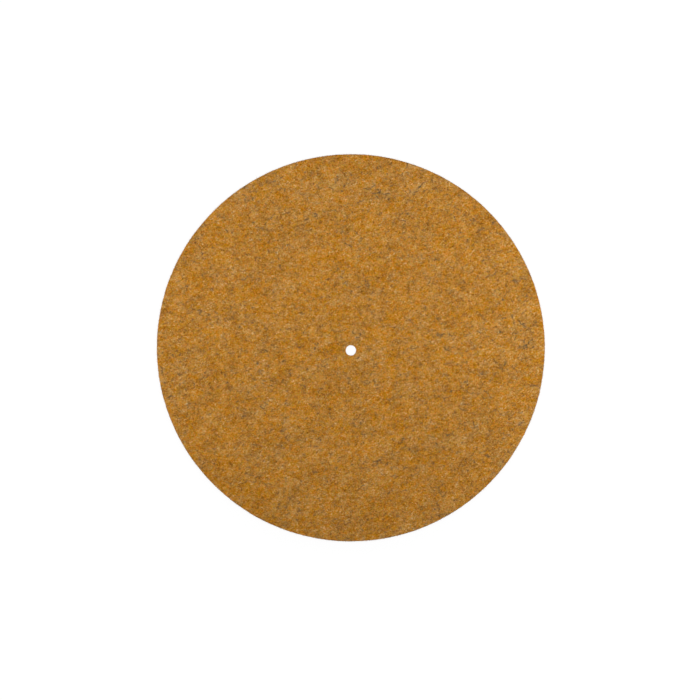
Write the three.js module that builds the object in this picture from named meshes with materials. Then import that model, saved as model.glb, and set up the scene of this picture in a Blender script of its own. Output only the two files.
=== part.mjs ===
// Turntable platter mat: one disc cut from a sheet of pressed wool felt, with a round hole for the spindle.
// Millimetres, +Z up. The origin is the middle of the underside, which lies on the platter.
import * as THREE from "three";

// Driving dimensions
const MAT_DIAMETER = 300;
const FELT_THICKNESS = 3;
const SPINDLE_DIAMETER = 7.2;
const SPINDLE_CLEARANCE = 0.4; // all round, so that the mat drops over the spindle

// How the knife leaves the felt: the fibres spring back, which rounds the corners and lets the cut wall swell
const RIM_CORNER_RADIUS = 0.75;
const HOLE_CORNER_RADIUS = 0.45;
const RIM_SWELL = 0.15;
const HOLE_SWELL = 0.05;

// Facets
const TURN_SEGMENTS = 160;
const CORNER_SEGMENTS = 3;
const WALL_SEGMENTS = 4;

const FELT_COLOUR = 0xac7734;
const FELT_ROUGHNESS = 0.95;

const OUTER_RADIUS = MAT_DIAMETER / 2;
const HOLE_RADIUS = SPINDLE_DIAMETER / 2 + SPINDLE_CLEARANCE;

// A corner can't be rounded past the middle of the cut wall.
function cornerRadius(wanted) {
  const share = 0.45;
  return Math.min(wanted, share * FELT_THICKNESS);
}

// One cut wall, from the underside's edge up to the top's edge. The wall stands at `radius` at its middle,
// and `outward` is 1 where the felt ends outside it and -1 in the hole.
function cutWall(radius, corner, swell, outward) {
  const points = [];
  const cornerCentre = radius - outward * (corner + swell);
  const wallHeight = FELT_THICKNESS - 2 * corner;
  for (let i = 0; i < CORNER_SEGMENTS; i++) {
    const angle = (Math.PI / 2) * (i / CORNER_SEGMENTS);
    const reach = corner * Math.sin(angle);
    points.push(new THREE.Vector2(cornerCentre + outward * reach, corner - corner * Math.cos(angle)));
  }
  for (let i = 0; i <= WALL_SEGMENTS; i++) {
    const along = i / WALL_SEGMENTS;
    const reach = corner + swell * Math.sin(Math.PI * along);
    points.push(new THREE.Vector2(cornerCentre + outward * reach, corner + wallHeight * along));
  }
  for (let i = CORNER_SEGMENTS - 1; i >= 0; i--) {
    const angle = (Math.PI / 2) * (i / CORNER_SEGMENTS);
    const reach = corner * Math.sin(angle);
    const height = FELT_THICKNESS - corner + corner * Math.cos(angle);
    points.push(new THREE.Vector2(cornerCentre + outward * reach, height));
  }
  return points;
}

// The mat's section, turned once round the spindle's axis: out along the underside, up the rim,
// in along the top and down the hole.
function feltSection() {
  const rim = cutWall(OUTER_RADIUS, cornerRadius(RIM_CORNER_RADIUS), RIM_SWELL, 1);
  const hole = cutWall(HOLE_RADIUS, cornerRadius(HOLE_CORNER_RADIUS), HOLE_SWELL, -1);
  const section = [...rim, ...hole.reverse()];
  section.push(section[0].clone());
  return section;
}

function feltMat() {
  const geometry = new THREE.LatheGeometry(feltSection(), TURN_SEGMENTS);
  geometry.rotateX(Math.PI / 2); // LatheGeometry turns its section about Y
  const material = new THREE.MeshStandardMaterial({
    color: FELT_COLOUR,
    roughness: FELT_ROUGHNESS,
    metalness: 0,
  });
  const mesh = new THREE.Mesh(geometry, material);
  mesh.name = "felt_mat";
  return mesh;
}

const platterMat = new THREE.Group();
platterMat.add(feltMat());

export default platterMat;
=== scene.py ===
"""Looks for a turntable platter mat: a disc of pressed wool felt, its loose fibres and a plain studio."""

import math
from collections import namedtuple

import bpy
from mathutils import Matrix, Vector


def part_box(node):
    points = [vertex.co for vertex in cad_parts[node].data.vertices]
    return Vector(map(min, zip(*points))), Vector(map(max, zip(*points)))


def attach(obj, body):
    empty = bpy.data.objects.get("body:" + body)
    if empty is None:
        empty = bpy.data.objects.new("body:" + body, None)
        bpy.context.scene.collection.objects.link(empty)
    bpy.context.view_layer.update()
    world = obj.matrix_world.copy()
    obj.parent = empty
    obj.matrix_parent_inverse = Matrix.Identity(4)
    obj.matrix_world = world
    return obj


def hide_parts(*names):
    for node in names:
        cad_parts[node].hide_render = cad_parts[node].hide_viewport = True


bl_info = {
    "name": "Felt Platter Mat",
    "version": (1, 0, 0),
    "blender": (4, 5, 0),
    "location": "View3D > Sidebar > Platter Mat",
    "description": "Builds a wool felt mat for a turntable platter, with its fibres and a studio",
    "category": "Add Mesh",
}

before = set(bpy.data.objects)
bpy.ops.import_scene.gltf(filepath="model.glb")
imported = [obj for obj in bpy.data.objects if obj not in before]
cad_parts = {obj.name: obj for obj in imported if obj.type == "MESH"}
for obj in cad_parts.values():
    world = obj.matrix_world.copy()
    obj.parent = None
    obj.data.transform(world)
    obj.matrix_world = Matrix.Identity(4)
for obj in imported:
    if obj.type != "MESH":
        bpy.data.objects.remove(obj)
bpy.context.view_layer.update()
MAT_LOW, MAT_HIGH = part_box("felt_mat")
MAT_RADIUS = (MAT_HIGH.x - MAT_LOW.x) / 2
FELT_THICKNESS = MAT_HIGH.z - MAT_LOW.z
HOLE_RADIUS = min(math.hypot(v.co.x, v.co.y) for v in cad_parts["felt_mat"].data.vertices)
BODY = "root"
MM = 0.001

# How far a face's normal points up, for the fibres of the top, of the cut walls and of the underside
TOP = (0.6, 1.1)
WALLS = (-0.6, 0.6)
UNDERSIDE = (-1.1, -0.6)

# The felt's map holds the underside, and the top with the cut walls rolled out beside it. Each half has its
# middle, alike on both axes, and its half width.
MAP_NAME = "OFBake"
TOP_MAP = (0.42, 0.415)
UNDERSIDE_MAP = (0.834, 0.161)

# The wool lies mostly along one line: how far that line is turned from the mat's X axis, and how much the
# blend is crowded along it, across it and through the felt
LAY_ANGLE = -0.26
LAY_CROWDING = (0.85, 1.05, 2.2)

# How much the noise rises or falls on the way across one of its cells
NOISE_SLOPE = 1.4

# Mottle of pale and dark wool, of grey wool, and of marigold and ochre wool: the width of a blotch in
# millimetres and how strong blotches of that width are
LIGHT_MOTTLE = ((24, 1.1), (12, 1.5), (6, 1.6), (3, 2.5), (1.5, 3.3), (1, 2.8))
GREY_MOTTLE = ((24, 1.3), (12, 1.5), (6, 1.8), (3, 3.4), (1.5, 2.0), (0.8, 1.5))
WARM_MOTTLE = ((1.6, 0.4), (0.8, 3.0))


class FeltSheetSettings(bpy.types.PropertyGroup):
    """Sizes of the felt disc itself."""

    facet: bpy.props.FloatProperty(
        name="Facet", description="Widest facet of the top face; the underside's are twice as wide",
        default=1.75 * MM, unit="LENGTH",
    )
    rim_corner: bpy.props.FloatProperty(
        name="Rim corner", description="Rounding where the rim meets a face",
        default=0.75 * MM, unit="LENGTH",
    )
    rim_swell: bpy.props.FloatProperty(
        name="Rim swell", description="How far the cut rim swells out between its corners",
        default=0.15 * MM, unit="LENGTH",
    )
    hole_corner: bpy.props.FloatProperty(
        name="Hole corner", description="Rounding where the hole meets a face",
        default=0.45 * MM, unit="LENGTH",
    )
    hole_swell: bpy.props.FloatProperty(
        name="Hole swell", description="How far the wall of the hole swells in between its corners",
        default=0.05 * MM, unit="LENGTH",
    )
    lump_size: bpy.props.FloatProperty(
        name="Lump size", description="Width of the small lumps of the pressed wool",
        default=4.5 * MM, unit="LENGTH",
    )
    lump_depth: bpy.props.FloatProperty(
        name="Lump depth", description="Deepest dip between two lumps", default=0.14 * MM, unit="LENGTH"
    )
    sway_size: bpy.props.FloatProperty(
        name="Sway size", description="Width of the slow rise and fall of the sheet",
        default=38 * MM, unit="LENGTH",
    )
    sway_depth: bpy.props.FloatProperty(
        name="Sway depth", description="Deepest slow dip of the sheet", default=0.1 * MM, unit="LENGTH"
    )


class WoolSettings(bpy.types.PropertyGroup):
    """Dyes of the wool blend and the sizes of its tufts and fibres."""

    marigold: bpy.props.FloatVectorProperty(
        name="Marigold", description="Main dye of the wool, an orange yellow", subtype="COLOR", size=3,
        min=0, max=1, default=(0.6, 0.195, 0.004),
    )
    ochre: bpy.props.FloatVectorProperty(
        name="Ochre", description="A greener yellow beside the main dye", subtype="COLOR", size=3,
        min=0, max=1, default=(0.5, 0.228, 0.003),
    )
    straw: bpy.props.FloatVectorProperty(
        name="Straw", description="Pale wool in the blend", subtype="COLOR", size=3, min=0, max=1,
        default=(0.8, 0.49, 0.175),
    )
    umber: bpy.props.FloatVectorProperty(
        name="Umber", description="Dark brown wool in the blend", subtype="COLOR", size=3, min=0, max=1,
        default=(0.14, 0.045, 0.001),
    )
    slate: bpy.props.FloatVectorProperty(
        name="Slate", description="Grey wool in the blend", subtype="COLOR", size=3, min=0, max=1,
        default=(0.3, 0.26, 0.145),
    )
    charcoal: bpy.props.FloatVectorProperty(
        name="Charcoal", description="Darkest single hairs in the blend", subtype="COLOR", size=3,
        min=0, max=1, default=(0.07, 0.057, 0.037),
    )
    cream: bpy.props.FloatVectorProperty(
        name="Cream", description="Palest single hairs in the blend", subtype="COLOR", size=3,
        min=0, max=1, default=(0.86, 0.64, 0.36),
    )
    paleness: bpy.props.FloatProperty(
        name="Paleness", description="Above 0 the blend leans to the pale wool and below 0 to the dark",
        default=-0.22,
    )
    tuft_size: bpy.props.FloatProperty(
        name="Tuft size", description="Width of the tufts in which fibres of one colour gather",
        default=15 * MM, unit="LENGTH",
    )
    lock_length: bpy.props.FloatProperty(
        name="Lock length", description="Length of a lock of fibres that lie together", default=5 * MM,
        unit="LENGTH",
    )
    lock_width: bpy.props.FloatProperty(
        name="Lock width", description="Width of a lock of fibres that lie together", default=1.1 * MM,
        unit="LENGTH",
    )
    fibre_length: bpy.props.FloatProperty(
        name="Fibre length", description="Length of a long loose fibre", default=10 * MM, unit="LENGTH"
    )
    fibre_width: bpy.props.FloatProperty(
        name="Fibre width", description="Thickness of a loose fibre", default=0.07 * MM, unit="LENGTH"
    )
    fibre_curl: bpy.props.FloatProperty(
        name="Fibre curl", default=1.2,
        description="How far a fibre may stray from side to side, as a share of its length",
    )
    fibre_step: bpy.props.FloatProperty(
        name="Fibre step", description="Length of one straight step of a fibre",
        default=1.2 * MM, unit="LENGTH",
    )
    fibres_per_cm2: bpy.props.FloatProperty(
        name="Fibres per square centimetre", description="Loose fibres that lie on the top face", default=22
    )
    seed: bpy.props.IntProperty(name="Seed", description="Seed of the scattered fibres", default=3)


class StudioSettings(bpy.types.PropertyGroup):
    """Camera, lamps and floor."""

    lens: bpy.props.FloatProperty(
        name="Lens", description="Focal length of the camera in millimetres", default=50, unit="CAMERA"
    )
    fill: bpy.props.FloatProperty(
        name="Fill", description="Strength of the even light all round", default=0.3
    )
    right_power: bpy.props.FloatProperty(
        name="Right power", description="Power of the lamp on the right", default=1.54, unit="POWER"
    )
    left_power: bpy.props.FloatProperty(
        name="Left power", description="Power of the lamp on the left", default=1.24, unit="POWER"
    )
    floor_width: bpy.props.FloatProperty(
        name="Floor width", description="Width of the pale floor", default=6, unit="LENGTH"
    )


def add_node(tree, kind, inputs=None, **values):
    """A new node. inputs maps a socket's name or number to a value or to another node's output."""
    made = tree.nodes.new(kind)
    for name, value in values.items():
        setattr(made, name, value)
    for key, value in (inputs or {}).items():
        if isinstance(value, bpy.types.NodeSocket):
            tree.links.new(value, made.inputs[key])
        else:
            made.inputs[key].default_value = value
    return made


def maths(tree, operation, *values):
    return add_node(tree, "ShaderNodeMath", dict(enumerate(values)), operation=operation).outputs[0]


def vector_maths(tree, operation, *values):
    return add_node(tree, "ShaderNodeVectorMath", dict(enumerate(values)), operation=operation).outputs[0]


def combined(tree, x, y, z):
    return add_node(tree, "ShaderNodeCombineXYZ", {0: x, 1: y, 2: z}).outputs[0]


def scaled(tree, vector, by):
    values = {0: vector, "Scale": by}
    return add_node(tree, "ShaderNodeVectorMath", values, operation="SCALE").outputs[0]


def ramped(tree, value, low, high, kind="LINEAR"):
    """0 at low, 1 at high and straight between them."""
    values = {"Value": value, "From Min": low, "From Max": high}
    return add_node(tree, "ShaderNodeMapRange", values, interpolation_type=kind).outputs[0]


def stepped(tree, value, low, high):
    """0 at low, 1 at high and smooth between them."""
    return ramped(tree, value, low, high, "SMOOTHSTEP")


def blended(tree, share, first, second):
    """Two colours mixed by share."""
    return add_node(tree, "ShaderNodeMix", {0: share, 6: first, 7: second}, data_type="RGBA").outputs[2]


def weighed(tree, *layers, start=0.0):
    """start, and to it the sum of values, each times its weight."""
    total = start
    for value, weight in layers:
        total = maths(tree, "MULTIPLY_ADD", value, weight, total)
    return total


def noise(tree, place, detail=0.0, roughness=0.5, output="Fac"):
    """Noise from 0 to 1 whose cells are one unit of place wide."""
    values = {"Vector": place, "Scale": 1.0, "Detail": detail, "Roughness": roughness}
    return add_node(tree, "ShaderNodeTexNoise", values).outputs[output]


def turned(tree, vector, angle):
    values = {"Vector": vector, "Angle": angle}
    return add_node(tree, "ShaderNodeVectorRotate", values, rotation_type="Z_AXIS").outputs[0]


def curled(tree, place, size, bend):
    """place, pushed about by up to half of bend, so that what is straight on it curls."""
    push = noise(tree, vector_maths(tree, "DIVIDE", place, combined(tree, size, size, size)), output="Color")
    push = vector_maths(tree, "SUBTRACT", push, (0.5, 0.5, 0.5))
    return vector_maths(tree, "ADD", place, scaled(tree, push, bend))


def centred(tree, value):
    """A value from 0 to 1, as much above 0 as below it."""
    return maths(tree, "SUBTRACT", value, 0.5)


def mottle(tree, place, layers, shift):
    """Soft blotches of several widths, as much above 0 as below it."""
    blotches = []
    for size, weight in layers:
        moved = vector_maths(
            tree, "MULTIPLY_ADD", place, (1 / (size * MM),) * 3, (shift, -size - shift, 0.5 * shift))
        blotches.append((centred(tree, noise(tree, moved)), weight))
    return weighed(tree, *blotches)


def tufts(tree, place, size, shift):
    """0 to 1: how much wool of one colour gathers here."""
    bent = curled(tree, place, maths(tree, "MULTIPLY", size, 0.5), maths(tree, "MULTIPLY", size, 0.6))
    width = combined(tree, maths(tree, "MULTIPLY", size, 1.3), size, maths(tree, "MULTIPLY", size, 0.4))
    measured = vector_maths(tree, "DIVIDE", bent, width)
    moved = vector_maths(tree, "ADD", measured, combined(tree, shift, shift, shift))
    return noise(tree, moved, detail=3.0, roughness=0.95)


def lying_places(tree, place, length, width, first_angle, shift):
    """Three places for streaks of one length and width that lie across each other."""
    for turn in range(3):
        lying = turned(tree, place, first_angle + turn * math.pi / 3)
        measured = vector_maths(tree, "DIVIDE", lying, (length, width, width))
        yield vector_maths(tree, "ADD", measured, (shift + 7.0 * turn, shift, -shift))


def locks(tree, place, length, width, first_angle, shift):
    """Locks of fibres that lie in three directions across each other: 1 on a lock and 0 between them."""
    strongest = 0.0
    for lying in lying_places(tree, place, length, width, first_angle, shift):
        lock = stepped(tree, noise(tree, lying, detail=1.0), 0.5, 0.75)
        strongest = maths(tree, "MAXIMUM", strongest, lock)
    return strongest


def combed(tree, place, length, width, first_angle, shift):
    """Fine strands in three directions across each other, as much above 0 as below it."""
    total = 0.0
    for lying in lying_places(tree, place, length, width, first_angle, shift):
        total = maths(tree, "ADD", total, centred(tree, noise(tree, lying)))
    return total


def hairs(tree, place, size, width, shift, number=3):
    """Short curved hairs: 1 on a hair and 0 beside it. They follow the level lines of a noise whose cells are
    as wide as size, and a second noise shows only parts of the lines."""
    half_line = NOISE_SLOPE * width / 2 / size
    strongest = 0.0
    for k in range(number):
        moved = vector_maths(
            tree, "MULTIPLY_ADD", place, (1 / size,) * 3, (shift + 5.0 * k, shift, 9.0 * k))
        off_line = maths(tree, "ABSOLUTE", centred(tree, noise(tree, moved)))
        line = stepped(tree, off_line, half_line, 0.0)
        part = vector_maths(tree, "MULTIPLY_ADD", moved, (1.3, 1.3, 1.3), (31.0, 17.0, 3.0))
        shown = stepped(tree, noise(tree, part), 0.54, 0.62)
        strongest = maths(tree, "MAXIMUM", strongest, maths(tree, "MULTIPLY", line, shown))
    return strongest


def new_material(name):
    made = bpy.data.materials.new(name)
    made.use_nodes = True
    return made, made.node_tree, made.node_tree.nodes["Principled BSDF"]


def with_alpha(colour):
    return (*colour, 1.0)


def felt_material(wool):
    """Pressed wool, matt and a little fuzzy: a blend of five dyes in blotches, locks, strands and fine webs,
    with dark hairs in its grey tufts and pale hairs in its light ones."""
    material, tree, shader = new_material("pressed_wool_felt")
    position = tree.nodes.new("ShaderNodeTexCoord").outputs["Object"]
    laid = vector_maths(tree, "MULTIPLY", turned(tree, position, LAY_ANGLE), LAY_CROWDING)
    place = curled(tree, laid, size=5.5 * MM, bend=4.5 * MM)
    bent = curled(tree, place, size=2.2 * MM, bend=1.2 * MM)
    long, wide = wool.lock_length, wool.lock_width

    pale_locks = locks(tree, place, long, wide, first_angle=0.1, shift=2.0)
    dark_locks = locks(tree, place, 1.2 * long, 0.9 * wide, first_angle=0.6, shift=9.0)
    grey_locks = locks(tree, place, long, wide, first_angle=0.85, shift=21.0)
    dark_hairs = hairs(tree, laid, size=6 * MM, width=0.6 * MM, shift=3.0)
    pale_hairs = hairs(tree, laid, size=3.5 * MM, width=0.5 * MM, shift=13.0, number=2)
    pale_web = hairs(tree, laid, size=2.6 * MM, width=0.1 * MM, shift=41.0, number=5)
    dark_web = hairs(tree, laid, size=2.2 * MM, width=0.1 * MM, shift=67.0, number=5)
    fine_strands = combed(tree, bent, length=3 * MM, width=0.1 * MM, first_angle=0.35, shift=33.0)
    broad_strands = combed(tree, bent, length=4 * MM, width=0.26 * MM, first_angle=0.9, shift=51.0)

    # How pale, how grey and how orange the blend is, all three as much above 0 as below it before the locks
    lightness = weighed(
        tree,
        (mottle(tree, laid, LIGHT_MOTTLE, shift=11.0), 1.0),
        (pale_locks, 0.8),
        (dark_locks, -0.8),
        (pale_web, 2.3),
        (dark_web, -2.3),
        (fine_strands, 2.6),
        (broad_strands, 2.4),
        start=wool.paleness,
    )
    greyness = weighed(tree, (mottle(tree, laid, GREY_MOTTLE, shift=17.0), 1.0), (grey_locks, 0.9))
    warmth = mottle(tree, laid, WARM_MOTTLE, shift=29.0)
    in_grey = maths(tree, "MULTIPLY", dark_hairs, ramped(tree, greyness, -0.3, 2.2))
    in_light = maths(tree, "MULTIPLY", pale_hairs, ramped(tree, lightness, 0.0, 2.8))

    # Each dye covers its share of what the ones before it give.
    dyed = with_alpha(wool.ochre)
    for share, dye in (
        (ramped(tree, warmth, -0.4, 0.4), wool.marigold),
        (ramped(tree, greyness, -1.1, 7.0), wool.slate),
        (ramped(tree, lightness, 0.0, 7.0), wool.straw),
        (ramped(tree, lightness, 0.0, -4.5), wool.umber),
        (maths(tree, "MULTIPLY", in_grey, 0.85), wool.charcoal),
        (maths(tree, "MULTIPLY", in_light, 0.5), wool.cream),
    ):
        dyed = blended(tree, share, dyed, with_alpha(dye))
    tree.links.new(dyed, shader.inputs["Base Color"])

    height = weighed(tree, (pale_web, 0.6), (dark_web, -0.4), (fine_strands, 0.8), (broad_strands, 0.8))
    bump = add_node(tree, "ShaderNodeBump", {"Strength": 0.6, "Distance": 0.12 * MM, "Height": height})
    tree.links.new(bump.outputs[0], shader.inputs["Normal"])
    shader.inputs["Roughness"].default_value = 0.95
    shader.inputs["Specular IOR Level"].default_value = 0.08
    shader.inputs["Sheen Weight"].default_value = 0.1
    shader.inputs["Sheen Roughness"].default_value = 0.6
    shader.inputs["Sheen Tint"].default_value = with_alpha(wool.straw)
    return material


def fibre_material(name, first, second, tip):
    """Wool fibres whose shade runs from first to second, fibre by fibre, along the map's U, and on to the
    shade of the tip at the end of each one, along the map's V."""
    material, tree, shader = new_material(name)
    place = add_node(tree, "ShaderNodeUVMap", uv_map=MAP_NAME).outputs[0]
    parts = add_node(tree, "ShaderNodeSeparateXYZ", {0: place}).outputs
    dyed = blended(tree, parts["X"], with_alpha(first), with_alpha(second))
    last_part = stepped(tree, parts["Y"], 0.6, 1.0)
    tip_share = maths(tree, "MULTIPLY", last_part, 0.4)
    tree.links.new(blended(tree, tip_share, dyed, with_alpha(tip)), shader.inputs["Base Color"])
    shader.inputs["Roughness"].default_value = 0.8
    shader.inputs["Specular IOR Level"].default_value = 0.2
    shader.inputs["Sheen Weight"].default_value = 0.1
    return material


def new_tree(name, sizes):
    """A geometry tree with a mesh going in and out. sizes maps each input's name to its socket type."""
    tree = bpy.data.node_groups.new(name, "GeometryNodeTree")
    tree.interface.new_socket("Geometry", in_out="OUTPUT", socket_type="NodeSocketGeometry")
    tree.interface.new_socket("Geometry", in_out="INPUT", socket_type="NodeSocketGeometry")
    for size, kind in sizes.items():
        tree.interface.new_socket(size, in_out="INPUT", socket_type="NodeSocket" + kind)
    return tree, tree.nodes.new("NodeGroupInput").outputs


def close_tree(tree, geometry, material):
    """Ends a tree in Realize Instances and Set Material."""
    real = add_node(tree, "GeometryNodeRealizeInstances", {0: geometry}).outputs[0]
    painted = add_node(tree, "GeometryNodeSetMaterial", {0: real, "Material": material}).outputs[0]
    tree.links.new(painted, tree.nodes.new("NodeGroupOutput").inputs[0])


def plain_mesh(piece, tree, values):
    """Runs a tree on a piece and keeps the result as the piece's own mesh."""
    modifier = piece.modifiers.new(tree.name, "NODES")
    modifier.node_group = tree
    for socket in tree.interface.items_tree:
        if socket.in_out == "INPUT" and socket.name in values:
            modifier[socket.identifier] = values[socket.name]
    bpy.context.view_layer.update()
    evaluated = piece.evaluated_get(bpy.context.evaluated_depsgraph_get())
    made = bpy.data.meshes.new_from_object(evaluated)
    piece.modifiers.remove(modifier)
    before, piece.data = piece.data, made
    if before.users == 0:
        bpy.data.meshes.remove(before)
    made.name = piece.name


def new_object(name, mesh):
    made = bpy.data.objects.new(name, mesh)
    bpy.context.scene.collection.objects.link(made)
    return made


Ring = namedtuple("Ring", "first count radius height spread")


class RingSurface:
    """A surface of rings round the mat's axis, with its map. A ring has as many points as the one before it,
    twice as many or half. Its spread is its radius once the cut walls are rolled out beside the top."""

    def __init__(self, underside_radius, widest_spread):
        self.underside_radius, self.widest_spread = underside_radius, widest_spread
        self.points, self.faces, self.map_points, self.rings = [], [], [], []

    def add_ring(self, radius, height, count, spread=0.0):
        first = len(self.points)
        for i in range(count):
            angle = math.tau * i / count
            self.points.append((radius * math.cos(angle), radius * math.sin(angle), height))
        self.rings.append(Ring(first, count, radius, height, spread))
        if len(self.rings) > 1:
            self.join(self.rings[-2], self.rings[-1])

    def join(self, before, after):
        """A band of faces between two rings."""
        n, m = before.count, after.count
        for i in range(min(n, m)):
            j = (i + 1) % min(n, m)
            if n == m:
                self.add_face((before, i), (before, j), (after, j), (after, i))
            elif m == 2 * n:
                left, middle, right = ((after, k % m) for k in (2 * i, 2 * i + 1, 2 * i + 2))
                self.add_face((before, i), middle, left)
                self.add_face((before, i), (before, j), middle)
                self.add_face((before, j), right, middle)
            else:
                left, middle, right = ((before, k % n) for k in (2 * i, 2 * i + 1, 2 * i + 2))
                self.add_face((after, i), left, middle)
                self.add_face((after, i), middle, (after, j))
                self.add_face((after, j), middle, right)

    def add_face(self, *corners):
        """A face through points of two rings. A flat face below goes on the underside's half of the map."""
        self.faces.append([ring.first + i for ring, i in corners])
        under = all(ring.height == 0 for ring, _ in corners)
        middle, half_width = UNDERSIDE_MAP if under else TOP_MAP
        for ring, i in corners:
            share = ring.radius / self.underside_radius if under else ring.spread / self.widest_spread
            angle = math.tau * i / ring.count
            self.map_points.append(middle + half_width * share * math.cos(angle))
            self.map_points.append(middle + half_width * share * math.sin(angle))

    def close(self):
        self.join(self.rings[-1], self.rings[0])

    def mesh(self, name):
        made = bpy.data.meshes.new(name)
        made.from_pydata(self.points, [], self.faces)
        made.uv_layers.new(name=MAP_NAME).uv.foreach_set("vector", self.map_points)
        made.polygons.foreach_set("use_smooth", [True] * len(made.polygons))
        return made


def wall_section(radius, corner, swell, outward, steps):
    """Points of a cut wall from the underside up to the top: a round corner, a swelling wall, a corner."""
    centre = radius - outward * (corner + swell)
    lower = []
    for i in range(steps):
        angle = math.pi / 2 * i / steps
        lower.append((centre + outward * corner * math.sin(angle), corner * (1 - math.cos(angle))))
    wall = []
    for i in range(steps + 1):
        reach = corner + swell * math.sin(math.pi * i / steps)
        wall.append((centre + outward * reach, corner + (FELT_THICKNESS - 2 * corner) * i / steps))
    upper = [(r, FELT_THICKNESS - z) for r, z in reversed(lower)]
    return lower + wall + upper


def rolled_out(section, start, outward):
    """The radius of each point of a cut wall, from its top edge down, once it is rolled out round the top."""
    spreads = [start]
    for before, after in zip(section, section[1:]):
        spreads.append(spreads[-1] + outward * math.dist(before, after))
    return spreads


def face_rings(inner, outer, facet, fewest):
    """Radius and point count of the rings between a flat face's edge at the hole and its edge at the rim."""
    rings, radius, count = [], inner + facet / 2, fewest
    while radius < outer - facet / 2:
        while math.tau * radius / count > facet:
            count *= 2
        rings.append((radius, count))
        radius += max(math.tau * radius / count, facet / 2)
    return rings


def relief_tree():
    """The pressed felt's lumps and slow sway, sunk into its faces and its cut walls."""
    sizes = {name: "Float" for name in ("Lump size", "Lump depth", "Sway size", "Sway depth")}
    tree, given = new_tree("Felt relief", {**sizes, "Material": "Material"})
    position = tree.nodes.new("GeometryNodeInputPosition").outputs[0]
    normal = tree.nodes.new("GeometryNodeInputNormal").outputs[0]
    dips = []
    for name, detail in (("Lump", 2.0), ("Sway", 0.0)):
        measured = scaled(tree, position, maths(tree, "DIVIDE", 1.0, given[name + " size"]))
        dip = stepped(tree, noise(tree, measured, detail, roughness=0.6), 0.25, 0.75)
        dips.append((dip, given[name + " depth"]))
    offset = scaled(tree, normal, maths(tree, "MULTIPLY", weighed(tree, *dips), -1.0))
    sunk = add_node(tree, "GeometryNodeSetPosition", {0: given["Geometry"], "Offset": offset}).outputs[0]
    close_tree(tree, sunk, given["Material"])
    return tree


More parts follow.
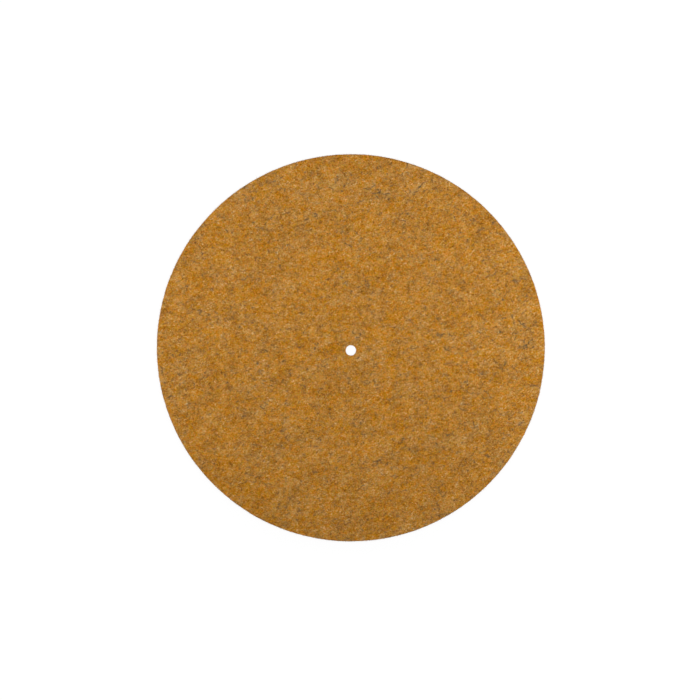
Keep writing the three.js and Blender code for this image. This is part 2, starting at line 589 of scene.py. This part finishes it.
class FibreTree:
    """Geometry nodes that scatter curled, tapering fibres over the faces which look one way."""

    SIZES = (
        "Density", "Length", "Width", "Stand", "Curl", "Step", "Tuft size", "Tuft shift", "Gathering",
        "Least upward", "Most upward", "Outer radius", "Hole radius",
    )

    # The seeds of what differs from fibre to fibre
    STRAND_SEED, HEADING_SEED, LENGTH_SEED = 11, 12, 13

    # The shortest fibre is this share of the longest
    LEAST_LENGTH = 0.2
    # A fibre may be this long at the edge, and longer by this many times its distance from there
    EDGE_LENGTH = 1.2 * MM
    EDGE_GROWTH = 1.6
    # The width of a bend, and how far apart in the noise the bends of the first and the last fibre are taken
    BEND_WIDTH = 5.5 * MM
    BENDS_APART = 90.0
    # The rise of the flattest fibre and how deep the ends lie in the felt, as shares of the stand
    LEAST_RISE = 0.15
    ENDS_SUNK = 0.06
    # The thickness of a fibre's ends as a share of its middle's
    TIP_WIDTH = 0.25

    def __init__(self):
        kinds = {name: "Float" for name in self.SIZES}
        self.tree, self.given = new_tree("Wool fibres", {**kinds, "Seed": "Int", "Material": "Material"})
        self.position = self.tree.nodes.new("GeometryNodeInputPosition").outputs[0]
        lines = self.lines(self.scattered())
        close_tree(self.tree, self.tubes(self.curled_lines(lines)), self.given["Material"])

    def maths(self, operation, *values):
        return maths(self.tree, operation, *values)

    def random(self, low, high, seed):
        """A random number or vector for each fibre."""
        many = isinstance(low, tuple)
        # The node has sockets of its own for a vector and for a number
        first, second, output = (0, 1, 0) if many else (2, 3, 1)
        kind = "FLOAT_VECTOR" if many else "FLOAT"
        values = {first: low, second: high, "Seed": seed}
        return add_node(self.tree, "FunctionNodeRandomValue", values, data_type=kind).outputs[output]

    def store(self, geometry, name, value, kind="FLOAT", domain="POINT"):
        values = {0: geometry, "Name": name, "Value": value}
        return add_node(
            self.tree, "GeometryNodeStoreNamedAttribute", values, data_type=kind, domain=domain
        ).outputs[0]

    def read(self, name, kind="FLOAT"):
        values = {"Name": name}
        return add_node(self.tree, "GeometryNodeInputNamedAttribute", values, data_type=kind).outputs[0]

    def from_edges(self):
        """How far a place is from the rim or the hole, whichever is nearer, when both are seen from above."""
        flat = vector_maths(self.tree, "MULTIPLY", self.position, (1, 1, 0))
        out = add_node(self.tree, "ShaderNodeVectorMath", {0: flat}, operation="LENGTH").outputs["Value"]
        return self.maths(
            "MINIMUM", self.maths("SUBTRACT", self.given["Outer radius"], out),
            self.maths("SUBTRACT", out, self.given["Hole radius"]),
        )

    def scattered(self):
        """Points on the chosen faces, closer together where the wool's tufts are."""
        tree, given = self.tree, self.given
        normal = tree.nodes.new("GeometryNodeInputNormal").outputs[0]
        upward = add_node(tree, "ShaderNodeSeparateXYZ", {0: normal}).outputs["Z"]
        chosen = self.maths(
            "MULTIPLY", self.maths("GREATER_THAN", upward, given["Least upward"]),
            self.maths("LESS_THAN", upward, given["Most upward"]),
        )
        wool = tufts(tree, self.position, given["Tuft size"], given["Tuft shift"])
        gathered = stepped(tree, wool, 0.42, 0.6)
        more = self.maths("MULTIPLY_ADD", gathered, 2.0, -1.0)
        share = self.maths("MULTIPLY_ADD", more, given["Gathering"], 1.0)
        density = self.maths("MULTIPLY", given["Density"], share)
        values = {0: given["Geometry"], "Selection": chosen, "Density": density, "Seed": given["Seed"]}
        scatter = add_node(tree, "GeometryNodeDistributePointsOnFaces", values).outputs
        return self.store(scatter["Points"], "felt_normal", scatter["Normal"], "FLOAT_VECTOR")

    def lines(self, points):
        """A straight line on each point, lying on the face, shorter near an edge."""
        tree, given = self.tree, self.given
        points = self.store(points, "strand", self.random(0.0, 1.0, self.STRAND_SEED))
        chance = self.maths("POWER", self.random(0.0, 1.0, self.LENGTH_SEED), 2.0)
        share = self.maths("MULTIPLY_ADD", chance, 1 - self.LEAST_LENGTH, self.LEAST_LENGTH)
        length = self.maths("MULTIPLY", given["Length"], share)
        inside = self.maths("MAXIMUM", self.from_edges(), 0.0)
        room = self.maths("MULTIPLY_ADD", inside, self.EDGE_GROWTH, self.EDGE_LENGTH)
        points = self.store(points, "reach", self.maths("MINIMUM", length, room))
        upright = add_node(
            tree, "FunctionNodeAlignRotationToVector", {"Vector": self.read("felt_normal", "FLOAT_VECTOR")},
            axis="Z",
        ).outputs[0]
        heading = self.random((-1.0, -1.0, -1.0), (1.0, 1.0, 1.0), self.HEADING_SEED)
        lying = add_node(
            tree, "FunctionNodeAlignRotationToVector", {"Rotation": upright, "Vector": heading},
            axis="X", pivot_axis="Z",
        ).outputs[0]
        line = add_node(tree, "GeometryNodeCurvePrimitiveLine", {"Start": (-0.5, 0, 0), "End": (0.5, 0, 0)})
        placed = add_node(tree, "GeometryNodeInstanceOnPoints", {
            0: points, "Instance": line.outputs[0], "Rotation": lying, "Scale": self.read("reach"),
        }).outputs[0]
        real = add_node(tree, "GeometryNodeRealizeInstances", {0: placed}).outputs[0]
        points_along = self.maths("ADD", self.maths("DIVIDE", self.read("reach"), given["Step"]), 3.0)
        cut = add_node(tree, "GeometryNodeResampleCurve", {0: real, "Count": points_along}).outputs[0]
        along = tree.nodes.new("GeometryNodeSplineParameter").outputs["Factor"]
        return self.store(cut, "along", along)

    def arch(self):
        """0 at a fibre's ends and 1 at its middle."""
        return self.maths("SINE", self.maths("MULTIPLY", self.read("along"), math.pi))

    def curled_lines(self, lines):
        """The lines curled sideways and arched off the felt, with no fibre below the underside."""
        tree, given = self.tree, self.given
        values = {
            "Vector": scaled(tree, self.position, 1 / self.BEND_WIDTH), "Scale": 1.0, "Detail": 0.0,
            "W": self.maths("MULTIPLY", self.read("strand"), self.BENDS_APART),
        }
        curl = add_node(tree, "ShaderNodeTexNoise", values, noise_dimensions="4D").outputs["Color"]
        curl = vector_maths(tree, "SUBTRACT", curl, (0.5, 0.5, 0.5))
        curl = scaled(tree, curl, self.maths("MULTIPLY", self.read("reach"), given["Curl"]))
        upright = self.read("felt_normal", "FLOAT_VECTOR")
        off_face = add_node(tree, "ShaderNodeVectorMath", {0: curl, 1: upright}, operation="DOT_PRODUCT")
        flat = vector_maths(tree, "SUBTRACT", curl, scaled(tree, upright, off_face.outputs["Value"]))
        chance = self.maths("POWER", self.read("strand"), 2.0)
        rise_share = self.maths("MULTIPLY_ADD", chance, 1 - self.LEAST_RISE, self.LEAST_RISE)
        lift = self.maths("MULTIPLY_ADD", self.arch(), rise_share, -self.ENDS_SUNK)
        lift = self.maths("MULTIPLY", lift, given["Stand"])
        offset = vector_maths(tree, "ADD", flat, scaled(tree, upright, lift))
        moved = add_node(tree, "GeometryNodeSetPosition", {0: lines, "Offset": offset}).outputs[0]
        lowest = self.maths("MULTIPLY", given["Width"], 0.5)
        rested = vector_maths(tree, "MAXIMUM", self.position, combined(tree, -1.0, -1.0, lowest))
        return add_node(tree, "GeometryNodeSetPosition", {0: moved, "Position": rested}).outputs[0]

    def tubes(self, lines):
        """Closed tapering tubes along the lines, with the fibre's own number and its length on the map."""
        tree = self.tree
        swell = self.maths("POWER", self.arch(), 0.6)
        taper = self.maths("MULTIPLY_ADD", swell, 1 - self.TIP_WIDTH, self.TIP_WIDTH)
        radius = self.maths("MULTIPLY", self.given["Width"], 0.5)
        ring = add_node(tree, "GeometryNodeCurvePrimitiveCircle", {"Resolution": 3, "Radius": radius})
        values = {0: lines, 1: ring.outputs[0], "Scale": taper, "Fill Caps": True}
        made = add_node(tree, "GeometryNodeCurveToMesh", values).outputs[0]
        place = combined(tree, self.read("strand"), self.read("along"), 0.0)
        return self.store(made, MAP_NAME, place, "FLOAT2", "CORNER")


class PLATTERMAT_OT_studio(bpy.types.Operator):
    """Set up the camera, the lamps and the pale floor"""

    bl_idname = "platter_mat.studio"
    bl_label = "Studio"

    # How the mat stands in a picture this wide, in its pixels: the radius of the outline, the middle of the
    # hole, and how far that lies below the outline's middle, because the camera leans a little
    PICTURE_PX = 700
    OUTLINE_RADIUS_PX = 194.02
    HOLE_PX = (350.81, 350.39)
    HOLE_BELOW_MIDDLE_PX = 2.65

    # One soft lamp stands on the right and one on the left, both this far from the mat's middle. They look
    # across it at a place near its far edge.
    LAMP_AWAY, LAMP_BACK, LAMP_HEIGHT = 0.34, 0.07, 0.36
    LAMP_AIM = Vector((0, 0.15, 0))
    LAMP_WIDTH = 0.4

    # The floor is paper, over which plain white is laid for the camera: its share beside the mat, and how
    # much of the rest the hole adds, a painted light that lifts the shade inside the hole
    PAPER = (0.9, 0.9, 0.9, 1)
    WHITE_STRENGTH = 1.03
    LEAST_WHITE = 0.88
    HOLE_GLOW_OVER_SHADE = 0.6

    def camera(self, studio):
        """A camera above the mat that shows it as the numbers above say."""
        data = bpy.data.cameras.new("camera")
        data.lens = studio.lens
        data.clip_start = 0.01
        camera = new_object("camera", data)
        focal_px = studio.lens / data.sensor_width * self.PICTURE_PX
        distance = focal_px * MAT_RADIUS / self.OUTLINE_RADIUS_PX
        lean = math.asin(self.HOLE_BELOW_MIDDLE_PX / self.OUTLINE_RADIUS_PX * distance / MAT_RADIUS)
        right, down = ((at - self.PICTURE_PX / 2) * distance / focal_px for at in self.HOLE_PX)
        height = FELT_THICKNESS / 2 + distance * math.cos(lean)
        camera.location = (-right, down + distance * math.sin(lean), height)
        camera.rotation_euler = (-lean, 0, 0)
        bpy.context.scene.camera = camera

    def lamp(self, name, side, power):
        """A soft round lamp on the right, where side is 1, or on the left, where it is -1."""
        data = bpy.data.lights.new(name, "AREA")
        data.shape, data.size, data.energy = "DISK", self.LAMP_WIDTH, power
        lamp = new_object(name, data)
        lamp.location = (side * self.LAMP_AWAY, self.LAMP_BACK, self.LAMP_HEIGHT)
        toward = self.LAMP_AIM - lamp.location
        lamp.rotation_euler = toward.to_track_quat("-Z", "Y").to_euler()
        lamp.visible_camera = False

    def world(self, studio):
        """Even light from all round, which the camera sees as plain white."""
        world = bpy.data.worlds.new("studio")
        bpy.context.scene.world = world
        world.use_nodes = True
        tree = world.node_tree
        seen = tree.nodes.new("ShaderNodeLightPath").outputs["Is Camera Ray"]
        strength = add_node(tree, "ShaderNodeMapRange", {"Value": seen, "To Min": studio.fill, "To Max": 1.0})
        background = tree.nodes["Background"]
        background.inputs["Color"].default_value = (1, 1, 1, 1)
        tree.links.new(strength.outputs[0], background.inputs["Strength"])

    def floor_material(self):
        """Matt white paper that the camera sees as plain white, except beside the mat, where its shadow
        shows."""
        material = bpy.data.materials.new("pale_floor")
        material.use_nodes = True
        tree = material.node_tree
        tree.nodes.clear()
        place = add_node(tree, "ShaderNodeTexCoord").outputs["Object"]
        away = add_node(tree, "ShaderNodeVectorMath", {0: place}, operation="LENGTH").outputs["Value"]
        # How much of the paper's shade the plain white covers: all of it away from the mat, and under the
        # hole a painted light over the shade inside the hole
        clear = maths(
            tree, "MAXIMUM", stepped(tree, away, MAT_RADIUS, 1.25 * MAT_RADIUS),
            maths(tree, "MULTIPLY", stepped(tree, away, 2 * HOLE_RADIUS, HOLE_RADIUS), self.HOLE_GLOW_OVER_SHADE),
        )
        share = maths(tree, "MULTIPLY_ADD", clear, 1 - self.LEAST_WHITE, self.LEAST_WHITE)
        seen = tree.nodes.new("ShaderNodeLightPath").outputs["Is Camera Ray"]
        paper = add_node(tree, "ShaderNodeBsdfDiffuse", {"Color": self.PAPER}).outputs[0]
        glow = {"Color": (1, 1, 1, 1), "Strength": self.WHITE_STRENGTH}
        white = add_node(tree, "ShaderNodeEmission", glow).outputs[0]
        mixed = add_node(
            tree, "ShaderNodeMixShader", {0: maths(tree, "MULTIPLY", share, seen), 1: paper, 2: white})
        output = tree.nodes.new("ShaderNodeOutputMaterial")
        tree.links.new(mixed.outputs[0], output.inputs["Surface"])
        return material

    def floor(self, studio):
        """A wide square of paper under the mat."""
        half = studio.floor_width / 2
        mesh = bpy.data.meshes.new("floor")
        corners = [(-half, -half, 0), (half, -half, 0), (half, half, 0), (-half, half, 0)]
        mesh.from_pydata(corners, [], [(0, 1, 2, 3)])
        mesh.materials.append(self.floor_material())
        new_object("floor", mesh)

    def execute(self, context):
        studio = context.scene.platter_mat_studio
        context.scene.view_settings.view_transform = "Standard"
        self.camera(studio)
        self.world(studio)
        self.floor(studio)
        self.lamp("right_lamp", 1, studio.right_power)
        self.lamp("left_lamp", -1, studio.left_power)
        return {"FINISHED"}


class PLATTERMAT_OT_felt_sheet(bpy.types.Operator):
    """Build the felt disc with its round hole, rounded cut edges and pressed surface"""

    bl_idname = "platter_mat.felt_sheet"
    bl_label = "Felt Sheet"

    CORNER_STEPS = 4
    HOLE_POINTS = 48

    def execute(self, context):
        felt, wool = context.scene.platter_mat_felt, context.scene.platter_mat_wool
        rim = wall_section(MAT_RADIUS, felt.rim_corner, felt.rim_swell, 1, self.CORNER_STEPS)
        hole = wall_section(HOLE_RADIUS, felt.hole_corner, felt.hole_swell, -1, self.CORNER_STEPS)
        inner, outer = hole[0][0], rim[0][0]
        top = face_rings(inner, outer, felt.facet, self.HOLE_POINTS)
        under = face_rings(inner, outer, 2 * felt.facet, self.HOLE_POINTS)
        rim_spreads = rolled_out(rim[::-1], outer, 1)
        hole_spreads = rolled_out(hole[::-1], inner, -1)

        surface = RingSurface(outer, rim_spreads[-1])
        for radius, count in under:
            surface.add_ring(radius, 0.0, count)
        for (radius, height), spread in zip(rim, reversed(rim_spreads)):
            surface.add_ring(radius, height, top[-1][1], spread)
        for radius, count in reversed(top):
            surface.add_ring(radius, FELT_THICKNESS, count, radius)
        for (radius, height), spread in zip(reversed(hole), hole_spreads):
            surface.add_ring(radius, height, self.HOLE_POINTS, spread)
        surface.close()

        sheet = new_object("felt_sheet", surface.mesh("felt_sheet"))
        values = {
            "Lump size": felt.lump_size, "Lump depth": felt.lump_depth,
            "Sway size": felt.sway_size, "Sway depth": felt.sway_depth,
            "Material": felt_material(wool),
        }
        plain_mesh(sheet, relief_tree(), values)
        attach(sheet, BODY)
        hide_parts("felt_mat")
        return {"FINISHED"}


# One group of loose fibres: its share of the fibres on the top face for the same area, the place of its
# tufts, how closely it keeps to them, its length as a share of the longest, and its stand in millimetres
FibreGroup = namedtuple("FibreGroup", "name material facing share tuft_shift gathering length stand")


class PLATTERMAT_OT_loose_fibres(bpy.types.Operator):
    """Scatter the loose wool fibres over both faces, the rim and the hole"""

    bl_idname = "platter_mat.loose_fibres"
    bl_label = "Loose Fibres"

    def execute(self, context):
        wool = context.scene.platter_mat_wool
        sheet = bpy.data.objects["felt_sheet"]
        tree = FibreTree().tree
        per_m2 = 10000 * wool.fibres_per_cm2
        marigold = fibre_material("marigold_fibre", wool.ochre, wool.marigold, wool.straw)
        straw = fibre_material("straw_fibre", wool.marigold, wool.straw, wool.straw)
        umber = fibre_material("umber_fibre", wool.umber, wool.marigold, wool.umber)
        slate = fibre_material("slate_fibre", wool.umber, wool.slate, wool.slate)
        groups = (
            FibreGroup("top_marigold_fibres", marigold, TOP, 0.28, 31.0, 0.2, 1.0, 1.0),
            FibreGroup("top_straw_fibres", straw, TOP, 0.22, 17.0, 0.6, 1.0, 1.0),
            FibreGroup("top_umber_fibres", umber, TOP, 0.28, 43.0, 0.6, 1.0, 0.7),
            FibreGroup("top_slate_fibres", slate, TOP, 0.22, 5.0, 0.8, 1.0, 0.8),
            FibreGroup("underside_fibres", marigold, UNDERSIDE, 0.22, 31.0, 0.3, 0.8, 0.1),
            FibreGroup("edge_fibres", marigold, WALLS, 13.0, 31.0, 0.2, 0.36, 0.6),
        )
        pieces = []
        for group in groups:
            piece = new_object(group.name, sheet.data)
            least_upward, most_upward = group.facing
            values = {
                "Density": per_m2 * group.share, "Length": group.length * wool.fibre_length,
                "Width": wool.fibre_width, "Stand": group.stand * MM, "Curl": wool.fibre_curl,
                "Step": wool.fibre_step, "Tuft size": wool.tuft_size, "Tuft shift": group.tuft_shift,
                "Gathering": group.gathering, "Least upward": least_upward, "Most upward": most_upward,
                "Outer radius": MAT_RADIUS, "Hole radius": HOLE_RADIUS, "Seed": wool.seed + len(pieces),
                "Material": group.material,
            }
            plain_mesh(piece, tree, values)
            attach(piece, BODY)
            pieces.append(piece)
        return {"FINISHED"}


class PLATTERMAT_PT_panel(bpy.types.Panel):
    """The steps that build the mat, and their settings"""

    bl_idname = "PLATTERMAT_PT_panel"
    bl_label = "Felt Platter Mat"
    bl_space_type = "VIEW_3D"
    bl_region_type = "UI"
    bl_category = "Platter Mat"

    def draw(self, context):
        for step in STEPS:
            self.layout.operator(step.bl_idname)
        for name in SETTINGS:
            settings = getattr(context.scene, name)
            for value in settings.bl_rna.properties:
                if value.identifier not in ("name", "rna_type"):
                    self.layout.prop(settings, value.identifier)


SETTINGS = {
    "platter_mat_felt": FeltSheetSettings,
    "platter_mat_wool": WoolSettings,
    "platter_mat_studio": StudioSettings,
}
STEPS = (PLATTERMAT_OT_studio, PLATTERMAT_OT_felt_sheet, PLATTERMAT_OT_loose_fibres)


def register():
    for kind in (*SETTINGS.values(), *STEPS, PLATTERMAT_PT_panel):
        bpy.utils.register_class(kind)
    for name, kind in SETTINGS.items():
        setattr(bpy.types.Scene, name, bpy.props.PointerProperty(type=kind))


def unregister():
    for name in SETTINGS:
        delattr(bpy.types.Scene, name)
    for kind in reversed((*SETTINGS.values(), *STEPS, PLATTERMAT_PT_panel)):
        bpy.utils.unregister_class(kind)


def main():
    register()
    bpy.ops.platter_mat.studio()
    bpy.ops.platter_mat.felt_sheet()
    bpy.ops.platter_mat.loose_fibres()


if __name__ == "__main__":
    main()
